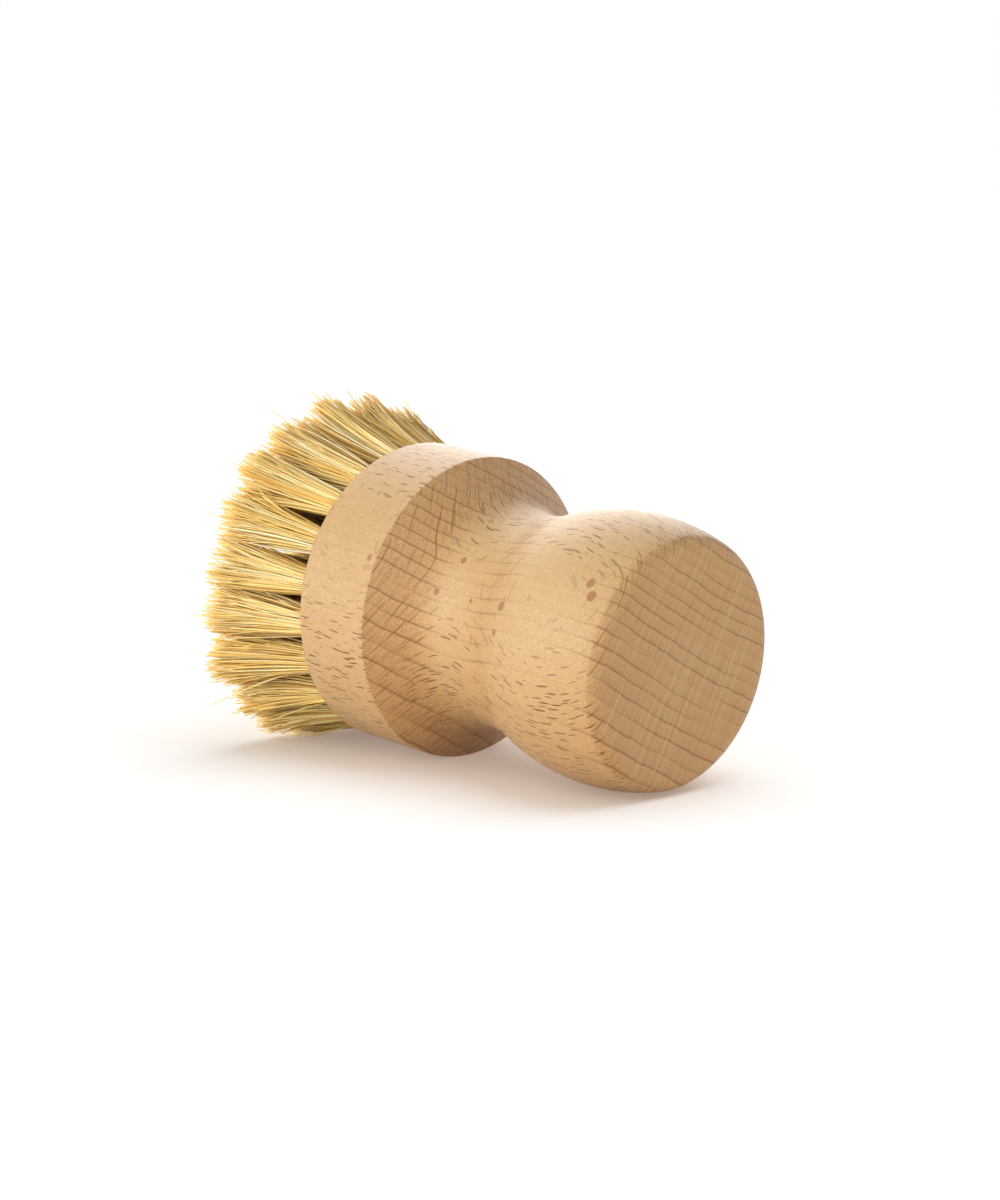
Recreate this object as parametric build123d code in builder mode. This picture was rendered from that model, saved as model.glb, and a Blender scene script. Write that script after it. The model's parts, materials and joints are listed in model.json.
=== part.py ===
"""Dish brush: turned beech with tufts of plant fibre, each folded over a wire anchor in its hole.

The brush lies on its side on a table, as it is put down after use. It rests on the rim of its head and on the
knob of its handle, with its low fibres bent up a little by the table. +Z is up, +X runs from the fibres to the
butt, and z = 0 is the table. The origin is on the table, under the middle of the brush. Sizes are in
millimetres.
"""

import os
import random
from math import acos, atan2, cos, degrees, hypot, pi, radians, sin, sqrt, tan

from build123d import *

# Wood, turned from one piece. Heights run along its axis from the flat face that holds the tufts.
head_radius = 29.0
head_height = 17.6
slope_angle = 48.0
slope_curve_radius = 13.0
neck_depth = 4.9
neck_curve_radius = 29.0
knob_radius = 25.4
knob_crown_radius = 42.0
knob_to_butt = 14.3
face_edge_round = 0.9
shoulder_round = 0.6
butt_round = 3.0

# Rings of tufts from the middle out: name, place as a share of the outer ring, how many, first one's turn.
ring_names = ("centre", "inner", "middle", "outer")
ring_shares = (0.0, 0.344, 0.676, 1.0)
ring_counts = (1, 7, 13, 20)
first_turns = (0.0, 0.0, 0.0, 9.0)
edge_land = 1.5

# Drilled hole of one tuft.
hole_radius = 2.5
hole_depth = 7.5
mouth_overrun = 1.5

# Flat wire anchor that holds the folded tuft down and bites into the wood on both sides of the hole.
anchor_bite = 0.5
anchor_thickness = 0.45
anchor_height = 2.0
anchor_lift = 1.0
anchor_clearance = 0.03

# Fibres of one tuft, each strand standing for a lock of them. Its size is its half width, corner to corner.
root_clearance = 0.05
fold_round = 0.8
strand_root_size = 0.55
strand_tip_size = 1.05
strand_sides = 4
strand_embedment = 1.0
outer_strands = 8
outer_strand_share = 0.72
middle_fan_share = 1.36
tip_fan_share = 1.95

# Trimmed ends of the fibres: how far they stand off the face, how far they lean out, and how far they bow.
centre_fibre_length = 24.6
outer_fibre_length = 22.4
outer_lean_out = 6.8
outward_bow = 0.5
length_scatter = 0.7
tip_scatter = 0.22
scatter_seed = 11

# The table bends up the low fibres. It squeezes what is below this height, and its push on a fibre's tip
# moves the fibre's middle by this share, as on a rod that is held at one end.
pushed_below = 18.0
table_gap = 0.1
bend_share = 0.31

# The outline of the wood is a rim, a straight slope, a hollow neck of two arcs and a crowned knob.
slope = radians(slope_angle)
neck_radius = knob_radius - neck_depth
slope_end_radius = neck_radius + slope_curve_radius * (1 - cos(slope))
slope_end_at = head_height + (head_radius - slope_end_radius) / tan(slope)
neck_at = slope_end_at + slope_curve_radius * sin(slope)
arcs_reach = neck_curve_radius + knob_crown_radius
blend_angle = acos((arcs_reach - neck_depth) / arcs_reach)
knob_at = neck_at + arcs_reach * sin(blend_angle)
crown_centre_radius = knob_radius - knob_crown_radius
butt_angle = acos(knob_to_butt / knob_crown_radius)
wood_length = knob_at + knob_to_butt
butt_face_radius = crown_centre_radius + sqrt(
    (knob_crown_radius - butt_round) ** 2 - (knob_to_butt - butt_round) ** 2
)

# The lying brush leans until its rounded shoulder and its crowned knob both touch the table.
shoulder_at = head_height - shoulder_round * tan((pi / 2 - slope) / 2)
shoulder_centre_radius = head_radius - shoulder_round
contact_run = knob_at - shoulder_at
contact_rise = shoulder_centre_radius - crown_centre_radius
lie_angle = acos((knob_crown_radius - shoulder_round) / hypot(contact_run, contact_rise)) - atan2(
    contact_run, contact_rise
)
face_height = shoulder_at * sin(lie_angle) + shoulder_centre_radius * cos(lie_angle) + shoulder_round

# Rings of holes, and the slightly domed field that the fibres are trimmed to.
outer_ring_radius = head_radius - edge_land - hole_radius
fibre_drop = centre_fibre_length - outer_fibre_length
plug_radius = hole_radius - root_clearance
anchor_length = 2 * (hole_radius + anchor_bite)
anchor_middle = -hole_depth + anchor_lift + anchor_height / 2

# The brush is centred along X between the ends of the fibres and the edge of the butt.
middle_share = ring_shares[-2]
fibre_reach = (centre_fibre_length - fibre_drop * middle_share**2) * cos(lie_angle) + (
    outer_ring_radius + outer_lean_out
) * middle_share * sin(lie_angle)
butt_reach = (wood_length - butt_round) * cos(lie_angle) + butt_face_radius * sin(lie_angle) + butt_round
face_x = (fibre_reach - butt_reach) / 2

# The face that holds the tufts: its x points up the brush and its z runs along the axis to the butt.
axis_direction = Vector(cos(lie_angle), 0, -sin(lie_angle))
up_direction = Vector(sin(lie_angle), 0, cos(lie_angle))
face = Plane(origin=(face_x, 0, face_height), x_dir=up_direction, z_dir=axis_direction)
outline_plane = Plane(origin=face.origin, x_dir=axis_direction, z_dir=(0, -1, 0))
shoulder_plane = face.offset(shoulder_at)


def in_face(radius, turn, height=0):
    """A vector in the face's own axes, from its distance from the brush's axis, its turn and its height."""
    return Vector(radius * cos(turn), radius * sin(turn), -height)


def tuft_lean(share, turn, shortening=0):
    """From a tuft's root to the middle of its trimmed end: outer tufts lean out more and stand less high."""
    return in_face(outer_lean_out * share, turn, centre_fibre_length - fibre_drop * share**2 - shortening)


def tuft_seat(share, turn):
    """The plane at a hole's mouth, with z out of the hole along its tuft and x across the ring's radius."""
    mouth = face.from_local_coords(in_face(outer_ring_radius * share, turn))
    along = face.from_local_coords(tuft_lean(share, turn)) - face.origin
    across = face.from_local_coords(in_face(1, turn + pi / 2)) - face.origin
    return Plane(origin=mouth, x_dir=across, z_dir=along)


tufts = []
for ring_name, ring_share, count, first_turn in zip(ring_names, ring_shares, ring_counts, first_turns):
    for number in range(count):
        name = f"tuft_{ring_name}" if count == 1 else f"tuft_{ring_name}_{number + 1:02d}"
        tufts.append((name, ring_share, radians(first_turn + 360 * number / count)))
seats = [tuft_seat(share, turn) for name, share, turn in tufts]
anchor_places = [seat.offset(anchor_middle).location for seat in seats]

# The whole of the turned beech. It is one piece, and the two nodes below are the two ends of it.
with BuildPart() as turned_wood:
    with BuildSketch(outline_plane) as half_outline:
        with BuildLine():
            Polyline((wood_length, 0), (0, 0), (0, head_radius), (head_height, head_radius))
            Line((head_height, head_radius), (slope_end_at, slope_end_radius))
            slope_curve_centre = (neck_at, neck_radius + slope_curve_radius)
            neck_curve_centre = (neck_at, neck_radius + neck_curve_radius)
            CenterArc(slope_curve_centre, slope_curve_radius, 270 - slope_angle, slope_angle)
            CenterArc(neck_curve_centre, neck_curve_radius, 270, degrees(blend_angle))
            crown = CenterArc(
                (knob_at, crown_centre_radius),
                knob_crown_radius,
                degrees(butt_angle),
                90 + degrees(blend_angle - butt_angle),
            )
            Line(crown @ 0, (wood_length, 0))
        make_face()
        rim_corners = half_outline.vertices().group_by(Axis.Y)[-1].sort_by(Axis.X)
        butt_corner = half_outline.vertices().group_by(Axis.X)[-1].sort_by(Axis.Y)[-1]
        fillet(rim_corners[0], face_edge_round)
        fillet(rim_corners[-1], shoulder_round)
        fillet(butt_corner, butt_round)
    revolve(axis=Axis(face.origin, axis_direction))

# Head: the wood up to its shoulder, with the drilled holes and the cuts that the anchors have bitten.
with BuildPart() as head:
    add(turned_wood.part)
    split(bisect_by=shoulder_plane, keep=Keep.BOTTOM)
    with Locations(*[seat.offset(mouth_overrun).location for seat in seats]):
        Hole(hole_radius, hole_depth + mouth_overrun)
    with Locations(*anchor_places):
        Box(anchor_length, anchor_thickness, anchor_height, mode=Mode.SUBTRACT)
head.part.label = "head"

# Handle: the wood from its shoulder to its butt, with the slope, the neck and the knob.
with BuildPart() as handle:
    add(turned_wood.part)
    split(bisect_by=shoulder_plane, keep=Keep.TOP)
handle.part.label = "handle"

# Anchors: short flat wires across the bottoms of the holes, all alike.
with BuildPart() as tuft_anchors:
    with Locations(*anchor_places):
        Box(anchor_length, anchor_thickness, anchor_height)
tuft_anchors.part.label = "tuft_anchors"

# With no table the strands would end in a round field, whose lowest part would be under the table's top.
end_field_radius = outer_ring_radius + outer_lean_out + tip_fan_share * outer_strand_share * plug_radius
end_field_height = face_height + outer_fibre_length * sin(lie_angle)
rest_height = strand_tip_size + table_gap


def table_lift(tip):
    """How far the table lifts a tip. Tips over one another keep their order, so no strands cross."""
    free_low = end_field_height - sqrt(max(end_field_radius**2 - tip.Y**2, 0)) * cos(lie_angle)
    if free_low >= rest_height or tip.Z >= pushed_below:
        return 0
    squeeze = (pushed_below - rest_height) / (pushed_below - free_low)
    return max(pushed_below - (pushed_below - tip.Z) * squeeze, rest_height) - tip.Z


def strand_spots(spin):
    """Where the strands of a tuft stand in its round root: one in the middle of a ring of them."""
    turns = [spin + 2 * pi * k / outer_strands for k in range(outer_strands)]
    return [Vector(0, 0, 0)] + [in_face(outer_strand_share * plug_radius, turn) for turn in turns]


def strand(ends):
    """One lock of fibres: a ruled loft through a section parallel to the face at its foot, middle and tip."""
    sizes = (strand_root_size, (strand_root_size + strand_tip_size) / 2, strand_tip_size)
    sections = []
    for centre, size in zip(ends, sizes):
        with BuildSketch(Plane(origin=centre, x_dir=up_direction, z_dir=-axis_direction)) as section:
            RegularPolygon(size, strand_sides)
        sections.append(section.sketch)
    return loft(sections, ruled=True, mode=Mode.PRIVATE)


def tuft_strands(share, turn, scatter):
    """The strands of one tuft fan out from their root to the trimmed end."""
    root = in_face(outer_ring_radius * share, turn)
    lean = tuft_lean(share, turn, scatter.uniform(0, length_scatter))
    nudge = Vector(scatter.uniform(-tip_scatter, tip_scatter), scatter.uniform(-tip_scatter, tip_scatter), 0)
    bow = in_face(outward_bow * share, turn)
    strands = []
    for spot in strand_spots(scatter.uniform(0, 2 * pi)):
        foot = root + spot - lean.normalized() * strand_embedment
        middle = root + spot * middle_fan_share + lean / 2 + nudge / 2 - bow
        tip = root + spot * tip_fan_share + lean + nudge
        foot, middle, tip = (face.from_local_coords(place) for place in (foot, middle, tip))
        lift = Vector(0, 0, table_lift(tip))
        strands.append(strand((foot, middle + lift * bend_share, tip + lift)))
    return strands


os.makedirs("parts", exist_ok=True)
export_step(head.part, "parts/head.step")
export_step(handle.part, "parts/handle.step")
export_step(tuft_anchors.part, "parts/tuft_anchors.step")
scatter = random.Random(scatter_seed)

# Tufts: each has a folded root that fills its hole round the anchor, with the strands fused on.
for (name, share, turn), seat, anchor_place in zip(tufts, seats, anchor_places):
    strands = tuft_strands(share, turn, scatter)
    with BuildPart() as tuft:
        with BuildSketch(seat.offset(-hole_depth)):
            Circle(plug_radius)
        extrude(amount=hole_depth)
        fillet(tuft.faces().sort_by(Axis(seat.origin, seat.z_dir))[0].edges(), fold_round)
        with Locations(anchor_place):
            Box(
                anchor_length,
                anchor_thickness + 2 * anchor_clearance,
                anchor_height + 2 * anchor_clearance,
                mode=Mode.SUBTRACT,
            )
        add(strands)
    tuft.part.label = name
    export_step(tuft.part, f"parts/{name}.step")

print(f"{len(tufts)} tufts, {len(tufts) * (1 + outer_strands)} strands")
print(f"lies {degrees(lie_angle):.2f} degrees off level, face centre at x {face_x:.2f}, z {face_height:.2f}")
print(f"neck radius {neck_radius:.2f} at {neck_at:.2f}, knob at {knob_at:.2f}, wood length {wood_length:.2f}")
butt_centre = face.from_local_coords(Vector(0, 0, wood_length))
print(f"butt face radius {butt_face_radius:.2f}, its centre at x {butt_centre.X:.3f}, z {butt_centre.Z:.3f}")
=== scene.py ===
import json
import math

import bpy
import numpy as np
from mathutils import Matrix, Vector


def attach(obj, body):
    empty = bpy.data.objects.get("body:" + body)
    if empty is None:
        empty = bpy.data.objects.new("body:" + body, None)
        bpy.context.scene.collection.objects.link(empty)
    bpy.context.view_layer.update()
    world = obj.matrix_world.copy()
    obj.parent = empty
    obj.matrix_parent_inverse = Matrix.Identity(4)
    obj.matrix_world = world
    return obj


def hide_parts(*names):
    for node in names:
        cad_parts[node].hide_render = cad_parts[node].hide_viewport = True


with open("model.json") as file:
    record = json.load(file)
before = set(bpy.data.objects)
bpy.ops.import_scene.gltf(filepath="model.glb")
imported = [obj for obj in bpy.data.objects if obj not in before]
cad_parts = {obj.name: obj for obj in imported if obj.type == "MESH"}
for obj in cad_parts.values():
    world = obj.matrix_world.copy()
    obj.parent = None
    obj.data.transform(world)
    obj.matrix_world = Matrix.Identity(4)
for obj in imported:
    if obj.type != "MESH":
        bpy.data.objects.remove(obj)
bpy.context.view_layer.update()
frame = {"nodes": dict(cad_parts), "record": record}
print("frame loaded:", len(frame["nodes"]), "CAD nodes")

mm = 0.001  # shapes are worked out in millimetres and put into meshes in metres

# The handle's turned outline, measured along its axis from the flat face that holds the tufts.
handleShape = {
    "headRadius": 29.0,
    "headHeight": 17.6,
    "slopeAngle": math.radians(48.0),
    "slopeCurve": 13.0,
    "neckDepth": 4.9,
    "neckCurve": 29.0,
    "knobRadius": 25.4,
    "knobCrown": 42.0,
    "knobToButt": 14.3,
    "faceEdgeRound": 0.9,
    "shoulderRound": 0.6,
    "buttRound": 3.0,
    "turns": 384,  # facets round the axis
    # facets along the outline, run by run from the face's centre to the butt's
    "facets": {"face": 12, "faceEdge": 8, "rim": 13, "shoulder": 6, "slope": 20, "neck": 20, "crown": 36,
               "buttEdge": 12, "butt": 10},
    "sharpAbove": math.radians(35.0),  # edges that turn by more than this are shaded sharp
}


# The outline's key points, where straight runs and arcs meet without a kink:
# slope end = neck + slope arc at the slope's angle,
# knob = neck + both arcs' reach times the blend angle's sine.
def outlinePlaces(h):
    slope, reach = h["slopeAngle"], h["neckCurve"] + h["knobCrown"]
    p = {"neckRadius": h["knobRadius"] - h["neckDepth"]}
    p["slopeEndRadius"] = p["neckRadius"] + h["slopeCurve"] * (1 - math.cos(slope))
    p["slopeEndAt"] = h["headHeight"] + (h["headRadius"] - p["slopeEndRadius"]) / math.tan(slope)
    p["neckAt"] = p["slopeEndAt"] + h["slopeCurve"] * math.sin(slope)
    p["blend"] = math.acos((reach - h["neckDepth"]) / reach)
    p["knobAt"] = p["neckAt"] + reach * math.sin(p["blend"])
    p["crownCentre"] = h["knobRadius"] - h["knobCrown"]
    p["woodLength"] = p["knobAt"] + h["knobToButt"]
    p["buttFace"] = p["crownCentre"] + math.sqrt(
        (h["knobCrown"] - h["buttRound"]) ** 2 - (h["knobToButt"] - h["buttRound"]) ** 2)
    return p


places = outlinePlaces(handleShape)

# The brush's own axes, read from the butt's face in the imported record.
buttMount = frame["record"]["mounts"][0]
axisDir = np.array(buttMount["axis"], float)
axisDir /= np.linalg.norm(axisDir)
upDir = np.array([-axisDir[2], 0.0, axisDir[0]])
sideDir = np.array([0.0, 1.0, 0.0])
faceCentre = np.array(buttMount["pos_m"], float) / mm - places["woodLength"] * axisDir


# From brush coordinates (up, side, along the axis from the face to the butt) to the frame, in millimetres.
def toFrame(up, side, along):
    parts = [np.asarray(q, float)[..., None] for q in (up, side, along)]
    return faceCentre + parts[0] * upDir + parts[1] * sideDir + parts[2] * axisDir


# A mesh object from points in millimetres and faces, with smooth or flat shading.
def makePiece(name, points, faces, smooth=True):
    mesh = bpy.data.meshes.new(name)
    mesh.from_pydata((np.asarray(points).reshape(-1, 3) * mm).tolist(), [], faces)
    mesh.polygons.foreach_set("use_smooth", [smooth] * len(mesh.polygons))
    mesh.update()
    piece = bpy.data.objects.new(name, mesh)
    bpy.context.scene.collection.objects.link(piece)
    return piece


# Points on an arc: centre + radius * (cos a, sin a), with a running evenly from one angle to the other.
def arc(centreAlong, centreRadius, radius, start, end, steps):
    a = np.linspace(start, end, steps + 1)
    return np.column_stack([centreAlong + radius * np.cos(a), centreRadius + radius * np.sin(a)])


# The handle's half outline as rows of (along, radius), from the face's centre round to the butt's centre.
def handleOutline(h, p):
    n = h["facets"]
    shoulderAt = h["headHeight"] - h["shoulderRound"] * math.tan((math.pi / 2 - h["slopeAngle"]) / 2)
    crownEnd = math.atan2(p["buttFace"] - p["crownCentre"], h["knobToButt"] - h["buttRound"])
    quarter = math.pi / 2
    faceEdge = h["headRadius"] - h["faceEdgeRound"]
    rimAlong = np.linspace(h["faceEdgeRound"], shoulderAt, n["rim"] + 1)[1:-1]
    buttOut = np.linspace(p["buttFace"], 0, n["butt"] + 1)[1:]
    runs = [
        np.column_stack([np.zeros(n["face"]), np.linspace(0, faceEdge, n["face"] + 1)[:-1]]),
        arc(h["faceEdgeRound"], faceEdge, h["faceEdgeRound"], 2 * quarter, quarter, n["faceEdge"]),
        np.column_stack([rimAlong, np.full(len(rimAlong), h["headRadius"])]),
        arc(shoulderAt, h["headRadius"] - h["shoulderRound"], h["shoulderRound"], quarter,
            quarter - h["slopeAngle"], n["shoulder"]),
        arc(p["neckAt"], p["neckRadius"] + h["slopeCurve"], h["slopeCurve"], 3 * quarter - h["slopeAngle"],
            3 * quarter, n["slope"]),
        arc(p["neckAt"], p["neckRadius"] + h["neckCurve"], h["neckCurve"], 3 * quarter,
            3 * quarter + p["blend"], n["neck"])[1:],
        arc(p["knobAt"], p["crownCentre"], h["knobCrown"], quarter + p["blend"], crownEnd, n["crown"])[1:],
        arc(p["woodLength"] - h["buttRound"], p["buttFace"], h["buttRound"], crownEnd, 0, n["buttEdge"])[1:],
        np.column_stack([np.full(n["butt"], p["woodLength"]), buttOut]),
    ]
    return np.concatenate(runs)


# Surface of revolution: point(i, j) = axis point at along_i + radius_i * (cos turn_j * up + sin turn_j *
# side), closed at both poles with fans, faces outwards.
def lathe(outline, turns):
    along, radius = outline[1:-1, 0], outline[1:-1, 1]
    turn = np.linspace(0, 2 * np.pi, turns, endpoint=False)
    rings = toFrame(radius[:, None] * np.cos(turn), radius[:, None] * np.sin(turn),
                    np.repeat(along[:, None], turns, 1))
    poles = toFrame([0, 0], [0, 0], outline[[0, -1], 0])
    points = np.concatenate([rings.reshape(-1, 3), poles])
    i = np.arange(len(along) - 1)[:, None] * turns
    j, k = np.arange(turns), (np.arange(turns) + 1) % turns
    walls = np.stack([i + j, i + turns + j, i + turns + k, i + k], -1).reshape(-1, 4)
    first, last = len(points) - 2, len(points) - 1
    base = (len(along) - 1) * turns
    fans = [[first, a, b] for a, b in zip(j.tolist(), k.tolist())]
    fans += [[last, base + b, base + a] for a, b in zip(j.tolist(), k.tolist())]
    return points, walls.tolist() + fans


# Holes and tufts: rings from the middle out, and how a tuft leans, fans and bows.
tuftRings = {
    "names": ("centre", "inner", "middle", "outer"),
    "shares": (0.0, 0.344, 0.676, 1.0),
    "counts": (1, 7, 13, 20),
    "firstTurns": (0.0, 0.0, 0.0, 9.0),
    "edgeLand": 1.5,
    "holeRadius": 2.5,
    "holeDepth": 7.5,
    "drillSides": 32,
    "drillOverrun": 1.5,  # how far the drill stands out of its hole
}
outerRing = handleShape["headRadius"] - tuftRings["edgeLand"] - tuftRings["holeRadius"]

fibreShape = {
    "perTuft": 380,
    "thickness": 0.35,  # across one fibre
    "thicknessSpread": (0.7, 1.3),
    "taper": 0.3,  # share of its thickness that a fibre loses by its tip
    "segments": 8,
    "rootDepth": 3.0,  # how deep the fibres are drawn into their hole
    "rootShare": 0.84,  # of the hole's radius that they fill
    "centreLength": 24.0,
    "outerLength": 21.7,
    "leanOut": 5.2,
    "sag": 0.5,  # how far the tips of the lying brush hang down
    "tuftNudge": 0.6,
    "tipFan": 2.5,
    "fanPower": 1.35,
    "outwardBow": 0.6,
    "locks": 12,  # fibres gather in this many locks a tuft
    "lockSpread": 0.45,
    "tipScatter": 0.3,
    "bowScatter": 0.42,
    "lengthScatter": 0.2,
    "strayShare": 0.035,
    "strayScatter": 1.9,
    "scatterPower": 1.5,  # above 1, the fibres part late on their way out
    "shortShare": 0.05,
    "shortBy": (1.0, 7.0),
    "pushedBelow": 18.0,  # tips below this height are lifted by the table
    "tableGap": 0.05,
    "tone": (0.54, 0.22),  # mean and scatter, 0 golden and 1 pale
    "lockTone": 0.09,
    "tuftTone": 0.03,
    "outerOpenness": 0.85,  # how much less shaded by other fibres an outer tuft is than the centre one
    "seed": 7,
}


# Each tuft's node, its share of the outer ring's radius, and its turn = first + full turn * number / count.
def tuftList(rings):
    found = []
    rows = zip(rings["names"], rings["shares"], rings["counts"], rings["firstTurns"])
    for name, share, count, first in rows:
        for number in range(count):
            node = f"tuft_{name}" if count == 1 else f"tuft_{name}_{number + 1:02d}"
            found.append((node, share, math.radians(first + 360 * number / count)))
    return found


tufts = tuftList(tuftRings)


# How far a tuft leans out and how long it stands: lean * share, and centre length - drop * share^2.
def tuftReach(share):
    f = fibreShape
    return f["leanOut"] * share, f["centreLength"] - (f["centreLength"] - f["outerLength"]) * share ** 2


# Drills: closed cylinders along each tuft's lean, point = mouth + radius * (cos a * across + sin a * over).
def drills():
    sides, overrun = tuftRings["drillSides"], tuftRings["drillOverrun"]
    points, faces = [], []
    a = np.linspace(0, 2 * np.pi, sides, endpoint=False)
    for node, share, turn in tufts:
        out, length = tuftReach(share)
        outward = np.array([math.cos(turn), math.sin(turn), 0.0])
        lean = outward * out - np.array([0, 0, length])
        lean /= np.linalg.norm(lean)
        across = np.array([-math.sin(turn), math.cos(turn), 0.0])
        over = np.cross(lean, across)
        ring = tuftRings["holeRadius"] * (np.cos(a)[:, None] * across + np.sin(a)[:, None] * over)
        mouth = outward * outerRing * share
        base = len(points) * 2 * sides
        for end in (overrun, -tuftRings["holeDepth"]):
            faces.append([base + sides * (end < 0) + q for q in range(sides)][::1 if end < 0 else -1])
        faces += [[base + q, base + (q + 1) % sides, base + sides + (q + 1) % sides, base + sides + q]
                  for q in range(sides)]
        points.append(np.concatenate([ring + mouth + lean * overrun,
                                      ring + mouth - lean * tuftRings["holeDepth"]]))
    points = np.concatenate(points)
    return toFrame(points[:, 0], points[:, 1], points[:, 2]), faces


# The handle's lathe surface less the drills.
def makeHandle():
    points, faces = lathe(handleOutline(handleShape, places), handleShape["turns"])
    wood = makePiece("turnedHandle", points, faces)
    cutter = makePiece("drills", *drills(), smooth=False)
    for piece in (wood, cutter):
        piece.data.validate()
    cut = wood.modifiers.new("holes", "BOOLEAN")
    cut.operation, cut.solver, cut.object = "DIFFERENCE", "EXACT", cutter
    bpy.context.view_layer.update()
    drilled = bpy.data.meshes.new_from_object(wood.evaluated_get(bpy.context.evaluated_depsgraph_get()))
    wood.modifiers.clear()
    wood.data = drilled
    bpy.data.objects.remove(cutter)
    wood.data.set_sharp_from_angle(angle=handleShape["sharpAbove"])
    return wood


# One tuft: fibre(q, t) = root + spot_q * fan(t) + lean * t + bow_q * sin(pi t) + scatter_q * t^power, drawn
# into its hole by root depth * (1 - t)^4. The spots fill the round hole in a sunflower's spiral.
def makeTuft(node, share, turn, rng):
    f, count = fibreShape, fibreShape["perTuft"]
    outward = np.array([math.cos(turn), math.sin(turn)])
    leanOut, length = tuftReach(share)
    q = np.arange(count)
    spotRadius = tuftRings["holeRadius"] * f["rootShare"] * np.sqrt((q + 0.5) / count)
    spotTurn = q * math.pi * (3 - math.sqrt(5)) + rng.uniform(0, 2 * np.pi)
    spot = spotRadius[:, None] * np.column_stack([np.cos(spotTurn), np.sin(spotTurn)])
    lockTurn, nudge = rng.uniform(0, 2 * np.pi), rng.normal(0, f["tuftNudge"], 2) - [f["sag"], 0]
    aroundHole = (np.arctan2(spot[:, 1], spot[:, 0]) + lockTurn) % (2 * np.pi)
    lockOf = np.floor(aroundHole / (2 * np.pi) * f["locks"]).astype(int)
    lockShift = rng.normal(0, f["lockSpread"], (f["locks"], 2))[lockOf]
    stray = rng.random(count) < f["strayShare"]
    scatter = rng.normal(0, 1, (count, 2)) * np.where(stray, f["strayScatter"], f["tipScatter"])[:, None]
    bow = rng.normal(0, f["bowScatter"], (count, 2)) - outward * f["outwardBow"] * share
    height = length + rng.normal(0, f["lengthScatter"], count)
    height -= (rng.random(count) < f["shortShare"]) * rng.uniform(*f["shortBy"], count)
    t = np.linspace(0, 1, f["segments"] + 1)[None, :, None]
    fan = 1 + (f["tipFan"] - 1) * t ** f["fanPower"]
    parted = (lockShift + scatter + nudge)[:, None] * t ** f["scatterPower"]
    flat = (outward * outerRing * share + spot[:, None] * fan + outward * leanOut * t
            + bow[:, None] * np.sin(np.pi * t) + parted)
    drawnIn = f["rootDepth"] * (1 - t) ** 4
    flat -= outward * leanOut / length * drawnIn
    centre = toFrame(flat[..., 0], flat[..., 1], drawnIn[..., 0] - height[:, None] * t[..., 0])
    centre = overTable(centre, t[..., 0])
    roll = rng.uniform(0, 2 * np.pi, count)
    taper = 1 - f["taper"] * t[0, :, 0] ** 2
    halfWidth = f["thickness"] / 2 * rng.uniform(*f["thicknessSpread"], count)[:, None] * taper
    piece = makePiece(node.replace("tuft", "fibres"), *tubes(centre, halfWidth, roll))
    tone = np.clip(rng.normal(*f["tone"], count) + rng.normal(0, f["lockTone"], f["locks"])[lockOf], 0, 1)
    tone += rng.normal(0, f["tuftTone"])
    reach = np.tile(np.repeat(t.ravel(), 3), count)
    # painted shade mask: 1 at the centre tuft's root, fading towards the tips and weaker on the outer rings
    depth = (1 - reach) * (1 - f["outerOpenness"] * share ** 2)
    for name, values in (("tone", np.repeat(tone, t.size * 3)), ("reach", reach), ("depth", depth)):
        layer = piece.data.attributes.new(name, "FLOAT", "POINT")
        layer.data.foreach_set("value", values)
    return piece


# Three-sided tubes with closed ends, a row of centres each: corner = centre + half width * (cos roll * first
# + sin roll * second), where first and second stand square to the tube.
def tubes(centre, halfWidth, roll):
    tangent = np.gradient(centre, axis=1)
    tangent /= np.linalg.norm(tangent, axis=2, keepdims=True)
    first = np.cross(tangent, sideDir)
    first /= np.linalg.norm(first, axis=2, keepdims=True)
    second = np.cross(tangent, first)
    roll = roll[:, None, None, None] + np.arange(3)[None, None, :, None] * 2 * np.pi / 3
    corner = np.cos(roll) * first[:, :, None] + np.sin(roll) * second[:, :, None]
    points = centre[:, :, None] + halfWidth[..., None, None] * corner
    count, rings = centre.shape[:2]
    start = np.arange(count) * rings * 3
    base = start[:, None, None] + (np.arange(rings - 1) * 3)[None, :, None]
    c, d = np.arange(3), (np.arange(3) + 1) % 3
    walls = np.stack([base + c, base + d, base + d + 3, base + c + 3], -1).reshape(-1, 4)
    ends = np.concatenate([start[:, None] + [2, 1, 0], start[:, None] + (rings - 1) * 3 + [0, 1, 2]])
    return points, walls.tolist() + ends.tolist()


# The table lifts low tips: each column of them is squeezed upwards in proportion, and along a fibre the lift
# is (3 t^2 - t^3) / 2 of its tip's, as a rod bends that is held at its root.
def overTable(centre, t):
    f = fibreShape
    leanOut, length = tuftReach(1.0)
    fieldRadius = outerRing + leanOut + tuftRings["holeRadius"] * f["rootShare"] * f["tipFan"]
    fieldHeight = faceCentre[2] - length * axisDir[2]
    floor = f["thickness"] / 2 + f["tableGap"]
    tip = centre[:, -1:]
    free = fieldHeight - np.sqrt(np.maximum(fieldRadius ** 2 - tip[..., 1] ** 2, 0)) * upDir[2]
    squeeze = (f["pushedBelow"] - floor) / (f["pushedBelow"] - np.minimum(free, floor))
    lift = np.maximum(f["pushedBelow"] - tip[..., 2], 0) * (1 - squeeze)
    lifted = centre.copy()
    lifted[..., 2] += lift * (3 * t ** 2 - t ** 3) / 2
    lifted[..., 2] = np.maximum(lifted[..., 2], floor)
    return lifted


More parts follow.
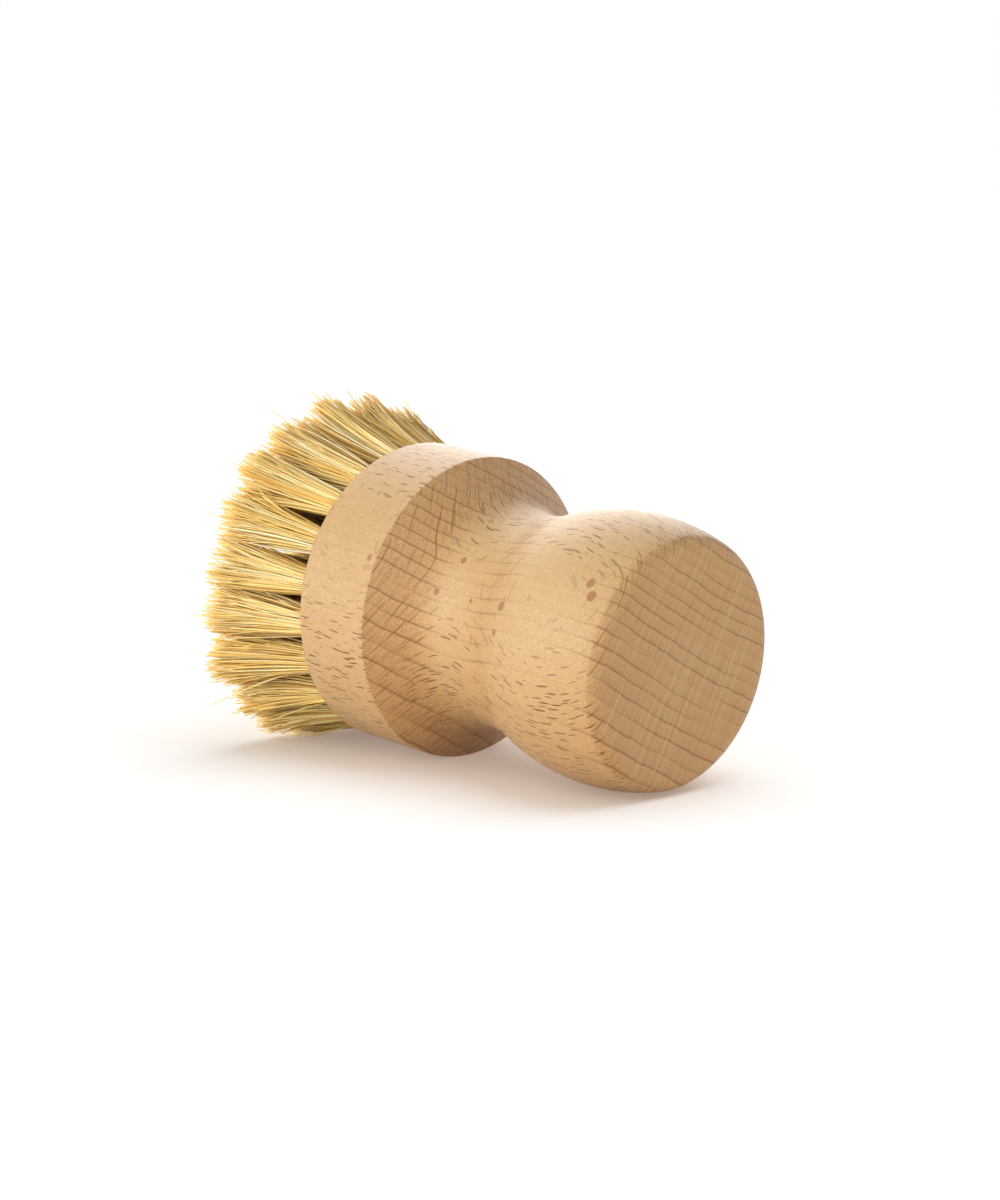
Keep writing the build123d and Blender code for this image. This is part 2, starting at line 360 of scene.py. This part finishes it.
# Shader wiring: arithmetic on a Value adds Math nodes, and graph.node adds any other kind.
class Value:
    def __init__(self, graph, socket):
        self.graph, self.socket = graph, socket

    def math(self, operation, *others):
        return self.graph.node("ShaderNodeMath", {"operation": operation}, (self, *others))

    def __add__(self, other):
        return self.math("ADD", other)

    def __radd__(self, other):
        return self.math("ADD", other)

    def __sub__(self, other):
        return self.math("SUBTRACT", other)

    def __rsub__(self, other):
        return self.graph.node("ShaderNodeMath", {"operation": "SUBTRACT"}, (other, self))

    def __mul__(self, other):
        return self.math("MULTIPLY", other)

    def __rmul__(self, other):
        return self.math("MULTIPLY", other)

    def __truediv__(self, other):
        return self.math("DIVIDE", other)

    def __pow__(self, other):
        return self.math("POWER", other)

    def clamp(self):
        return self.graph.node("ShaderNodeClamp", {}, (self, 0.0, 1.0))

    # 0 below low, 1 above high, smooth between; low may be above high to turn it round
    def ramp(self, low, high):
        smooth = {"interpolation_type": "SMOOTHSTEP"}
        return self.graph.node("ShaderNodeMapRange", smooth, (self, low, high, 0.0, 1.0))

    def dot(self, direction):
        dotProduct = {"operation": "DOT_PRODUCT"}
        return self.graph.node("ShaderNodeVectorMath", dotProduct, (self, direction), "Value")


class Graph:
    def __init__(self, name):
        self.material = bpy.data.materials.new(name)
        self.material.use_nodes = True
        self.tree = self.material.node_tree
        self.shader = self.tree.nodes["Principled BSDF"]

    # Adds a node: settings first, then inputs by place or by name, and gives one of its outputs.
    def node(self, kind, settings, inputs, output=0):
        made = self.tree.nodes.new(kind)
        for name, value in settings.items():
            setattr(made, name, value)
        pairs = inputs.items() if isinstance(inputs, dict) else enumerate(inputs)
        for key, value in pairs:
            self.plug(made.inputs[key], value)
        return Value(self, made.outputs[output])

    def plug(self, socket, value):
        if isinstance(value, Value):
            self.tree.links.new(value.socket, socket)
        else:
            socket.default_value = value

    def set(self, **sockets):
        for name, value in sockets.items():
            self.plug(self.shader.inputs[name.replace("_", " ")], value)

    def noise(self, vector, scale, detail):
        return self.node("ShaderNodeTexNoise", {}, {"Vector": vector, "Scale": scale, "Detail": detail})

    def xyz(self, x, y, z):
        return self.node("ShaderNodeCombineXYZ", {}, (x, y, z))

    def attribute(self, name):
        return self.node("ShaderNodeAttribute", {"attribute_name": name}, (), "Fac")

    def mixColour(self, share, first, second):
        made = self.tree.nodes.new("ShaderNodeMix")
        made.data_type = "RGBA"
        for key, value in ((0, share), (6, first), (7, second)):
            self.plug(made.inputs[key], value)
        return Value(self, made.outputs[2])

    def colourRamp(self, share, stops):
        made = self.tree.nodes.new("ShaderNodeValToRGB")
        elements = made.color_ramp.elements
        while len(elements) < len(stops):
            elements.new(0.5)
        for element, (place, shade) in zip(elements, stops):
            element.position, element.color = place, shade
        self.plug(made.inputs[0], share)
        return Value(self, made.outputs[0])


# An sRGB colour from 0 to 255 as a linear one.
def colour(r, g, b):
    c = np.array([r, g, b]) / 255
    linear = np.where(c <= 0.04045, c / 12.92, ((c + 0.055) / 1.055) ** 2.4)
    return (*linear.tolist(), 1.0)


# Beech: growth rings, seen as lines where the surface cuts across the grain, and rays, thin upright plates
# that show as dashes on the flat-sawn sides, as flecks on the quarter-sawn ones and as lines on end grain.
beech = {
    "barkTurn": 207.0,  # degrees from up, towards the far side, that the rings grow outwards
    "pithAway": 300.0,
    "ringWidth": 2.5,
    "ringWidening": 0.0094,  # share by which a millimetre further out spreads the rings
    "waveBy": 1.5,  # how far the rings wander, in millimetres, slowly and in ripples
    "rippleBy": 0.25,
    "side": colour(228, 189, 136),
    "warm": colour(218, 173, 117),
    "end": colour(220, 174, 118),
    "pore": colour(178, 128, 80),
    "ringLine": colour(140, 90, 46),
    "ray": colour(130, 80, 38),
    "fleck": colour(172, 110, 64),
    "rayOnEnd": colour(232, 196, 148),
    # how often each noise repeats a millimetre across, outwards and along the grain, and its detail
    "noises": {
        "wave": (0.12, 0.05, 0.035, 2.0),
        "ripple": (0.7, 0.3, 0.2, 2.0),
        "warp": (0.12, 0.08, 0.1, 1.0),
        "drift": (0.06, 0.06, 0.025, 2.0),
        "mottle": (0.8, 0.8, 0.25, 3.0),
        "pores": (4.6, 4.6, 2.4, 2.0),
    },
    "ringFade": (7.3, 0.06, 0.02),  # the same from ring to ring, across and along
    "rayBreak": (5.7, 0.2, 0.35),  # from ray to ray, outwards and along
    "rayUneven": (0.5, 0.02),  # across and outwards
    "paleRay": (2.6, 0.05, 0.4),
    # where each mark starts and where it is full, on its noise or within its year
    "limits": {
        "drift": (0.3, 0.75),
        "mottle": (0.35, 0.7),
        "pores": (0.42, 0.68),
        "ringFade": (0.25, 0.6),
        "paleRay": (0.5, 0.66),
        "yearEnd": (0.78, 0.94),
        "yearStart": (1.0, 0.97),
        "flatSawn": (0.15, 0.7),
        "plateEdge": (1.05, 0.7),
    },
    # the same for how squarely the surface cuts across the grain, 0 along it and 1 on end grain
    "cuts": {
        "endColour": (0.12, 0.65),
        "endGrain": (0.3, 0.8),
        "slantedFrom": (0.3, 0.6),
        "slantedTo": (0.98, 0.9),
        "poreDarker": (0.2, 0.6),
        "ringDarker": (0.08, 0.5),
        "buttPaleRay": (0.85, 0.99),
        "buttRay": (0.9, 0.99),
        "fleckUpTo": (0.5, 0.3),
        "plateUpTo": (0.9, 0.6),
    },
    # how much of its colour each mark adds: at full strength, or (what the cut across adds, elsewhere)
    "driftShare": 0.4,
    "mottleShare": 0.25,
    "poreShare": (0.3, 0.36),
    "lateShare": (0.14, 0.03),
    "ringShare": (0.56, 0.08),
    "paleRayShare": 0.34,
    "fineRayShare": 0.6,
    "slopeRayShare": 0.72,
    "buttRayShare": 0.3,
    "fleckShare": 0.8,
    "plateShare": (0.75, 0.2),  # what flat-sawn wood adds, elsewhere
    "roughness": (0.14, 0.38),  # what a pore adds, elsewhere
    "poreRelief": -0.5,
    "plateRelief": -0.4,
    "ringRelief": -0.4,
    "bumpStrength": 0.4,
    "bumpHeight": 0.12,
    # spacing and half size of the ray plates, across, outwards and along, in millimetres, and how many show
    "rayCell": (0.6, 6.6, 2.8),
    "rayHalf": (0.105, 2.6, 1.5),
    "rayShown": 0.9,
    "fleckCell": (9.0, 6.5, 6.5),
    "fleckHalf": (5.0, 1.15, 0.9),
    "fleckShown": 0.5,
    "plateSize": (0.7, 0.5),  # what a cell's chance adds to its plate's size, and the least
    "shownSoft": 0.02,
    "plateWarpBy": 1.6,  # how far the plates and the lines wander, in millimetres
    "lineWarpBy": 2.0,
    "rayLines": ((2.0, 0.05, 0.44), (0.9, 0.07, 0.48)),  # spacing, share that is dark, cover threshold
    "lineCore": 0.4,  # share of a line's width that is fully dark
    "coverSoft": 0.06,
}


def makeBeech():
    b, g = beech, Graph("sandedBeech")
    turn = math.radians(b["barkTurn"])
    outDir = math.cos(turn) * upDir + math.sin(turn) * sideDir
    acrossDir = -math.sin(turn) * upDir + math.cos(turn) * sideDir
    coordinates = g.tree.nodes.new("ShaderNodeTexCoord")
    place, normal = (Value(g, coordinates.outputs[name]) for name in ("Object", "Normal"))

    # place along the wood's own axes, in millimetres from the middle of the tufts' face
    def woodAxis(direction):
        return place.dot((direction / mm).tolist()) - float(faceCentre @ direction)

    along, out, across = (woodAxis(d) for d in (axisDir, outDir, acrossDir))

    def grainNoise(name):
        acrossScale, outScale, alongScale, detail = b["noises"][name]
        return g.noise(g.xyz(across * acrossScale, out * outScale, along * alongScale), 1.0, detail)

    facing = normal.dot(axisDir.tolist()).math("ABSOLUTE")

    def limit(value, name):
        return value.ramp(*b["limits"][name])

    def cut(name):
        return facing.ramp(*b["cuts"][name])

    flatSawn = limit(normal.dot(outDir.tolist()).math("ABSOLUTE"), "flatSawn")
    endGrain, slanted = cut("endGrain"), cut("slantedFrom") * cut("slantedTo")

    # growth rings: distance from a far pith, made wavy, and a thin line at the end of each year
    wave, ripple = grainNoise("wave") - 0.5, grainNoise("ripple") - 0.5
    grown = ((out + b["pithAway"]) ** 2.0 + across ** 2.0) ** 0.5 - b["pithAway"]
    grown = grown + wave * b["waveBy"] + ripple * b["rippleBy"]
    year = grown * (1 / b["ringWidth"] - grown * (b["ringWidening"] / b["ringWidth"] / 2))
    late = year.math("FRACT")
    ringLine = limit(late, "yearEnd") * limit(late, "yearStart")
    ringStep, acrossScale, alongScale = b["ringFade"]
    ringPlace = g.xyz(year.math("FLOOR") * ringStep, across * acrossScale, along * alongScale)
    ringStrength = limit(g.noise(ringPlace, 1.0, 0.0), "ringFade")

    warp = grainNoise("warp") - 0.5
    aroundPith = across / (out + b["pithAway"]) * b["pithAway"]

    # a share that grows with a mask: what the mask adds, and what is there without it
    def rising(mask, pair):
        return mask * pair[0] + pair[1]

    # plates: in each cell of a stretched Voronoi pattern, one flat ellipsoid about the cell's point, of a
    # size and with a chance to show that the cell's colour gives
    def plates(cell, half, shown):
        stretched = g.xyz((aroundPith + warp * b["plateWarpBy"]) / cell[0], out / cell[1], along / cell[2])
        voronoi = g.node("ShaderNodeTexVoronoi", {}, {"Vector": stretched, "Scale": 1.0}, "Position")
        cellColour = Value(g, voronoi.socket.node.outputs["Color"])
        size, chance = (g.node("ShaderNodeSeparateXYZ", {}, (cellColour,), axis) for axis in (0, 1))
        offset = g.node("ShaderNodeVectorMath", {"operation": "SUBTRACT"}, (stretched, voronoi))
        offset = g.node("ShaderNodeVectorMath", {"operation": "MULTIPLY"},
                        (offset, tuple(c / h for c, h in zip(cell, half))))
        distance = g.node("ShaderNodeVectorMath", {"operation": "LENGTH"}, (offset,), "Value")
        inside = limit(distance / rising(size, b["plateSize"]), "plateEdge")
        return inside * chance.ramp(shown, shown - b["shownSoft"])

    plate = plates(b["rayCell"], b["rayHalf"], b["rayShown"])
    fleck = plates(b["fleckCell"], b["fleckHalf"], b["fleckShown"])

    # long rays: thin planes along the grain, unevenly spaced and broken by a slow noise
    def rayLines(spacing, dark, cover):
        acrossScale, outScale = b["rayUneven"]
        uneven = g.noise(g.xyz(aroundPith * acrossScale, out * outScale, 0.0), 1.0, 1.0)
        number = (aroundPith + warp * b["lineWarpBy"] + uneven) / spacing
        stroke = (number.math("FRACT") - 0.5).math("ABSOLUTE").ramp(dark, dark * b["lineCore"])
        rayStep, outScale, alongScale = b["rayBreak"]
        breaks = g.noise(g.xyz(number.math("FLOOR") * rayStep, out * outScale, along * alongScale), 1.0, 1.0)
        return stroke * breaks.ramp(cover - b["coverSoft"], cover + b["coverSoft"])

    coarseRay, fineRay = (rayLines(*row) for row in b["rayLines"])
    acrossScale, outScale, alongScale = b["paleRay"]
    palePlace = g.xyz(aroundPith * acrossScale, out * outScale, along * alongScale)
    paleRay = limit(g.noise(palePlace, 1.0, 2.0), "paleRay")

    # colour: side grain to end grain, then pores, rings, rays and a slow drift of tone
    drift, mottle, pores = (limit(grainNoise(name), name) for name in ("drift", "mottle", "pores"))

    rayShare = slanted * b["slopeRayShare"] + cut("buttRay") * b["buttRayShare"]
    fleckShare = cut("fleckUpTo") * (1.0 - flatSawn) * b["fleckShare"]
    wood = g.mixColour(cut("endColour"), b["side"], b["end"])
    wood = g.mixColour(drift * b["driftShare"] + mottle * b["mottleShare"], wood, b["warm"])
    wood = g.mixColour(pores * rising(cut("poreDarker"), b["poreShare"]), wood, b["pore"])
    wood = g.mixColour(late * rising(endGrain, b["lateShare"]), wood, b["ringLine"])
    ringShare = ringLine * ringStrength * rising(cut("ringDarker"), b["ringShare"])
    wood = g.mixColour(ringShare, wood, b["ringLine"])
    wood = g.mixColour(paleRay * cut("buttPaleRay") * b["paleRayShare"], wood, b["rayOnEnd"])
    wood = g.mixColour((coarseRay + fineRay * b["fineRayShare"]).clamp() * rayShare, wood, b["ray"])
    wood = g.mixColour(fleck * fleckShare, wood, b["fleck"])
    wood = g.mixColour(plate * rising(flatSawn, b["plateShare"]) * cut("plateUpTo"), wood, b["ray"])
    g.set(Base_Color=wood, Roughness=rising(pores, b["roughness"]), Specular_IOR_Level=0.5)
    relief = pores * b["poreRelief"] + plate * b["plateRelief"] + ringLine * endGrain * b["ringRelief"]
    bumpInputs = {"Strength": b["bumpStrength"], "Distance": b["bumpHeight"] * mm, "Height": relief}
    g.set(Normal=g.node("ShaderNodeBump", {}, bumpInputs))
    return g.material


# Plant fibre: straw and golden fibres mixed, golden at the trimmed end, and painted shade: dark brown deep
# in the field of tufts near the roots, where the other fibres would shade them.
straws = {
    "tones": [
        (0.0, colour(170, 118, 42)),
        (0.25, colour(238, 194, 98)),
        (0.55, colour(252, 221, 136)),
        (0.8, colour(255, 236, 174)),
        (1.0, colour(255, 246, 214)),
    ],
    # tint, how much of it, and where along the fibre or how deep in the tuft it starts and is full
    "root": (colour(206, 156, 86), 0.15, (0.25, 0.0)),
    # painted shade: dark brown where the other fibres would shade the roots deep in the field
    "paintedShade": (colour(100, 66, 26), 0.88, (0.1, 0.4)),
    "tip": (colour(246, 204, 108), 0.45, (0.5, 1.0)),
    "roughness": 0.5,
}


def makeFibre():
    s, g = straws, Graph("strawFibre")
    tone, reach, depth = (g.attribute(name) for name in ("tone", "reach", "depth"))
    straw = g.colourRamp(tone, s["tones"])
    for name, mask in (("root", reach), ("paintedShade", depth), ("tip", reach)):
        tint, share, limits = s[name]
        straw = g.mixColour(mask.ramp(*limits) * share, straw, tint)
    g.set(Base_Color=straw, Roughness=s["roughness"])
    return g.material


# Anchors: dull galvanised wire, blotched.
wireLook = {
    "dull": colour(150, 152, 156),
    "bright": colour(196, 198, 200),
    "blotchScale": 1800.0,
    "blotchDetail": 3.0,
    "roughness": (0.2, 0.3),  # what a blotch adds, elsewhere
}


def makeWire():
    w, g = wireLook, Graph("galvanisedWire")
    place = Value(g, g.tree.nodes.new("ShaderNodeTexCoord").outputs["Object"])
    blotch = g.noise(place, w["blotchScale"], w["blotchDetail"])
    g.set(Base_Color=g.mixColour(blotch, w["dull"], w["bright"]), Metallic=1.0,
          Roughness=blotch * w["roughness"][0] + w["roughness"][1])
    return g.material


woodMaterial, fibreMaterial, wireMaterial = makeBeech(), makeFibre(), makeWire()
print("materials made")

turnedHandle = makeHandle()
turnedHandle.data.materials.clear()
turnedHandle.data.materials.append(woodMaterial)
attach(turnedHandle, "root")
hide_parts("head", "handle")
print("handle turned and drilled:", len(turnedHandle.data.polygons), "faces")

rng = np.random.default_rng(fibreShape["seed"])
tuftPieces = []
for node, share, turn in tufts:
    tuft = makeTuft(node, share, turn, rng)
    tuftPieces.append(tuft)
    tuft.data.materials.append(fibreMaterial)
    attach(tuft, "root")
    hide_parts(node)
print("tufts made:", len(tufts), "of", fibreShape["perTuft"], "fibres")

anchors = frame["nodes"]["tuft_anchors"]
anchors.data.materials.clear()
anchors.data.materials.append(wireMaterial)

# Studio: a white floor that keeps a soft shadow, tinted warm by the floor's painted warm glow, suns for even
# light without falloff, and a world that is seen white and lights the brush more from one side.
studio = {
    "floorSize": 6.0,
    "floorSeen": (0.85, 0.93, 0.98, 1.0),  # colour that the camera sees lit, on top of the glow
    "floorBounce": (0.80, 0.73, 0.62, 1.0),  # colour that lights the brush from below
    # glow seen by the camera and in reflections; where the floor's sun is shaded off, this warm glow is what
    # shows, a painted warm tint in the shadow
    "floorGlow": (0.30, 0.23, 0.19, 1.0),
    "floorRoughness": 0.9,
    "worldDim": 0.25,
    "worldBright": 0.75,
    "brightSide": (-0.65, -0.65, -0.40),  # towards the world's bright side
    "suns": [  # towards the light, strength, angle across in degrees, what it lights
        ((-0.80, 0.53, 0.40), 1.45, 50.0, "brush"),
        ((-0.40, -0.91, 0.12), 1.95, 60.0, "wood"),
        ((-0.45, -0.85, 0.10), 4.0, 60.0, "tufts"),
        ((0.90, -0.43, 0.03), 1.2, 60.0, "brush"),
        ((0.17, 0.29, 1.00), 1.5, 66.0, "floor"),
    ],
}


def makeFloor():
    half = studio["floorSize"] / 2 / mm
    corners = [(-half, -half, 0), (half, -half, 0), (half, half, 0), (-half, half, 0)]
    floor = makePiece("floor", corners, [[0, 1, 2, 3]], smooth=False)
    g = Graph("whiteFloor")
    path = g.tree.nodes.new("ShaderNodeLightPath")
    seen = Value(g, path.outputs["Is Camera Ray"]).math("MAXIMUM", Value(g, path.outputs["Is Glossy Ray"]))
    base = g.mixColour(seen, studio["floorBounce"], studio["floorSeen"])
    g.set(Base_Color=base, Roughness=studio["floorRoughness"], Specular_IOR_Level=0.0)
    # the warm glow paints the shadow's warm tint, and tops up the lit floor to white
    g.set(Emission_Color=studio["floorGlow"], Emission_Strength=seen)
    floor.data.materials.append(g.material)
    return floor


# White to the camera and in reflections, and otherwise from dim to bright towards brightSide.
def makeWorld():
    world = bpy.data.worlds.new("whiteRoom")
    bpy.context.scene.world = world
    world.use_nodes = True
    tree = world.node_tree
    path = tree.nodes.new("ShaderNodeLightPath")
    seen = tree.nodes.new("ShaderNodeMath")
    seen.operation = "MAXIMUM"
    tree.links.new(path.outputs["Is Camera Ray"], seen.inputs[0])
    tree.links.new(path.outputs["Is Glossy Ray"], seen.inputs[1])
    direction = tree.nodes.new("ShaderNodeTexCoord")
    towards = tree.nodes.new("ShaderNodeVectorMath")
    towards.operation = "DOT_PRODUCT"
    towards.inputs[1].default_value = studio["brightSide"]
    tree.links.new(direction.outputs["Generated"], towards.inputs[0])
    light = tree.nodes.new("ShaderNodeMapRange")
    for name, value in (("From Min", -1.0), ("From Max", 1.0),
                        ("To Min", studio["worldDim"]), ("To Max", studio["worldBright"])):
        light.inputs[name].default_value = value
    tree.links.new(towards.outputs["Value"], light.inputs[0])
    level = tree.nodes.new("ShaderNodeMapRange")
    tree.links.new(seen.outputs[0], level.inputs[0])
    tree.links.new(light.outputs[0], level.inputs["To Min"])
    background = tree.nodes["Background"]
    background.inputs["Color"].default_value = (1.0, 1.0, 1.0, 1.0)
    tree.links.new(level.outputs[0], background.inputs["Strength"])


# Each sun lights one group of objects, so that the floor keeps only the soft shadow under the brush.
def makeSuns(groups):
    receivers = {name: bpy.data.collections.new(name) for name in groups}
    for name, pieces in groups.items():
        for piece in pieces:
            receivers[name].objects.link(piece)
    for number, (towards, strength, angle, group) in enumerate(studio["suns"]):
        light = bpy.data.lights.new(f"sun{number + 1}", "SUN")
        light.energy, light.angle = strength, math.radians(angle)
        sun = bpy.data.objects.new(light.name, light)
        sun.rotation_euler = Vector(towards).to_track_quat("Z", "Y").to_euler()
        bpy.context.scene.collection.objects.link(sun)
        sun.light_linking.receiver_collection = receivers[group]


# Camera: placed by the fit of the handle's outline to the photograph.
cameraFit = {
    "azimuth": math.radians(44.83),  # from the brush's axis round to the near side
    "elevation": math.radians(8.81),
    "distance": 600.0,
    "aimFromFace": 45.0,  # level distance from the tufts' face to the point looked at
    "aimHeight": 25.0,
    "shiftRight": -14.549,
    "shiftUp": 8.28,
    "focalPixels": 3260.3,
    "imageHeight": 1200,
    "sensor": 36.0,
    "clip": (0.01, 20.0),  # in metres
}


def makeCamera():
    c = cameraFit
    back = np.array([math.cos(c["azimuth"]) * math.cos(c["elevation"]),
                     -math.sin(c["azimuth"]) * math.cos(c["elevation"]), math.sin(c["elevation"])])
    right = np.cross([0, 0, 1], back)
    right /= np.linalg.norm(right)
    up = np.cross(back, right)
    aim = np.array([faceCentre[0] + c["aimFromFace"], 0, c["aimHeight"]])
    eye = (aim + c["distance"] * back + c["shiftRight"] * right + c["shiftUp"] * up) * mm
    lens = bpy.data.cameras.new("camera")
    lens.sensor_fit, lens.sensor_width = "AUTO", c["sensor"]
    lens.lens = c["focalPixels"] / c["imageHeight"] * c["sensor"]
    lens.clip_start, lens.clip_end = c["clip"]
    camera = bpy.data.objects.new("camera", lens)
    camera.matrix_world = Matrix([*np.column_stack([right, up, back, eye]).tolist(), [0, 0, 0, 1]])
    bpy.context.scene.collection.objects.link(camera)
    bpy.context.scene.camera = camera


floor = makeFloor()
makeWorld()
woodPieces = [turnedHandle, anchors]
makeSuns({"floor": [floor], "wood": woodPieces, "tufts": tuftPieces, "brush": woodPieces + tuftPieces})
makeCamera()
bpy.context.scene.view_settings.view_transform = "Standard"
print("studio ready")
